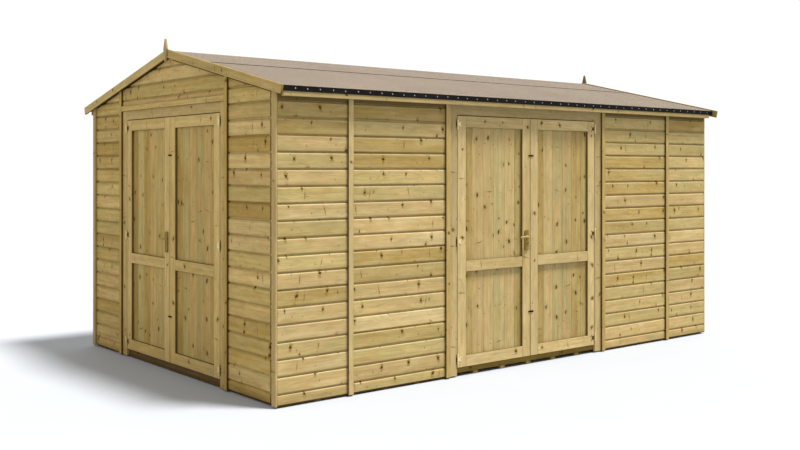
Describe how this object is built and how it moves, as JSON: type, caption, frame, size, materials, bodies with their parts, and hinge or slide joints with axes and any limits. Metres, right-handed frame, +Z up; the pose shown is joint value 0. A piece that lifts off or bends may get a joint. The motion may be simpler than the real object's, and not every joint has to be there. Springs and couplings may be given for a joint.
{
  "type": "workshop shed",
  "caption": "Windowless apex shed of lapped softwood on a framed floor, with felted roof, bargeboards, finials and framed double doors in the gable and the long side.",
  "frame": {"origin": "middle of the footprint on the ground, under the bearers", "axes": "+Z up, ridge along Y, the gable with doors faces -Y and the long side with doors faces +X"},
  "size_m": [3.088, 4.5918, 2.416],
  "materials": {
    "bearers": "rough sawn, pressure treated",
    "floor": "planed boards",
    "sills": "rough sawn, pressure treated",
    "cladding": "planed, pressure treated, pale olive tan",
    "framing": "rough sawn, pressure treated",
    "strips": "planed, pressure treated",
    "casing": "planed, pressure treated",
    "roof_boards": "planed boards",
    "felt": "mineral roofing felt, pinkish beige grit",
    "bargeboards": "planed, pressure treated",
    "brass": "bright plated",
    "door_frame": "planed, pressure treated",
    "door_boards": "planed tongue and groove boards"
  },
  "bodies": {
    "shed": {"floor_bearers": "bearers", "floor_deck": "floor", "door_sills": "sills", "right_wall_cladding": "cladding", "right_wall_framing": "framing", "right_cover_strips": "strips", "side_door_frame": "casing", "left_wall_cladding": "cladding", "left_wall_framing": "framing", "left_cover_strips": "strips", "front_wall_cladding": "cladding", "front_gable_cladding": "cladding", "front_wall_framing": "framing", "front_cover_strips": "strips", "front_door_frame": "casing", "rear_wall_cladding": "cladding", "rear_wall_framing": "framing", "rear_cover_strips": "strips", "corner_trims": "strips", "roof_deck": "roof_boards", "lower_felt": "felt", "upper_felt": "felt", "eaves_battens": "strips", "roof_purlins": "framing", "ridge_beam": "framing", "bargeboards": "bargeboards", "finials": "bargeboards", "jamb_hinges": "brass"},
    "front_left_door": {"front_left_frame": "door_frame", "front_left_boards": "door_boards", "front_left_hinges": "brass", "front_lock_plate": "brass"},
    "front_right_door": {"front_right_frame": "door_frame", "front_right_boards": "door_boards", "front_right_hinges": "brass"},
    "front_handle": {"front_lever": "brass"},
    "side_left_door": {"side_left_frame": "door_frame", "side_left_boards": "door_boards", "side_left_hinges": "brass", "side_lock_plate": "brass"},
    "side_right_door": {"side_right_frame": "door_frame", "side_right_boards": "door_boards", "side_right_hinges": "brass"},
    "side_handle": {"side_lever": "brass"}
  },
  "joints": [
    {"name": "front_left_door_swing", "type": "hinge", "parent": "shed", "child": "front_left_door", "pos_m": [-0.78, -2.2435, 0.9595], "axis": [0, 0, -1], "range_deg": [0, 155]},
    {"name": "front_right_door_swing", "type": "hinge", "parent": "shed", "child": "front_right_door", "pos_m": [0.706, -2.2435, 0.9595], "axis": [0, 0, 1], "range_deg": [0, 155]},
    {"name": "side_left_door_swing", "type": "hinge", "parent": "shed", "child": "side_left_door", "pos_m": [1.433, -0.743, 0.9595], "axis": [0, 0, -1], "range_deg": [0, 155]},
    {"name": "side_right_door_swing", "type": "hinge", "parent": "shed", "child": "side_right_door", "pos_m": [1.433, 0.743, 0.9595], "axis": [0, 0, 1], "range_deg": [0, 155]},
    {"name": "front_handle_turn", "type": "hinge", "parent": "front_left_door", "child": "front_handle", "pos_m": [-0.081, -2.2525, 0.966], "axis": [0, -1, 0], "range_deg": [0, 35], "stiffness_Nm_per_rad": 0.6, "springref_deg": -8.59},
    {"name": "side_handle_turn", "type": "hinge", "parent": "side_left_door", "child": "side_handle", "pos_m": [1.442, -0.044, 0.966], "axis": [1, 0, 0], "range_deg": [0, 35], "stiffness_Nm_per_rad": 0.6, "springref_deg": -8.59}
  ]
}
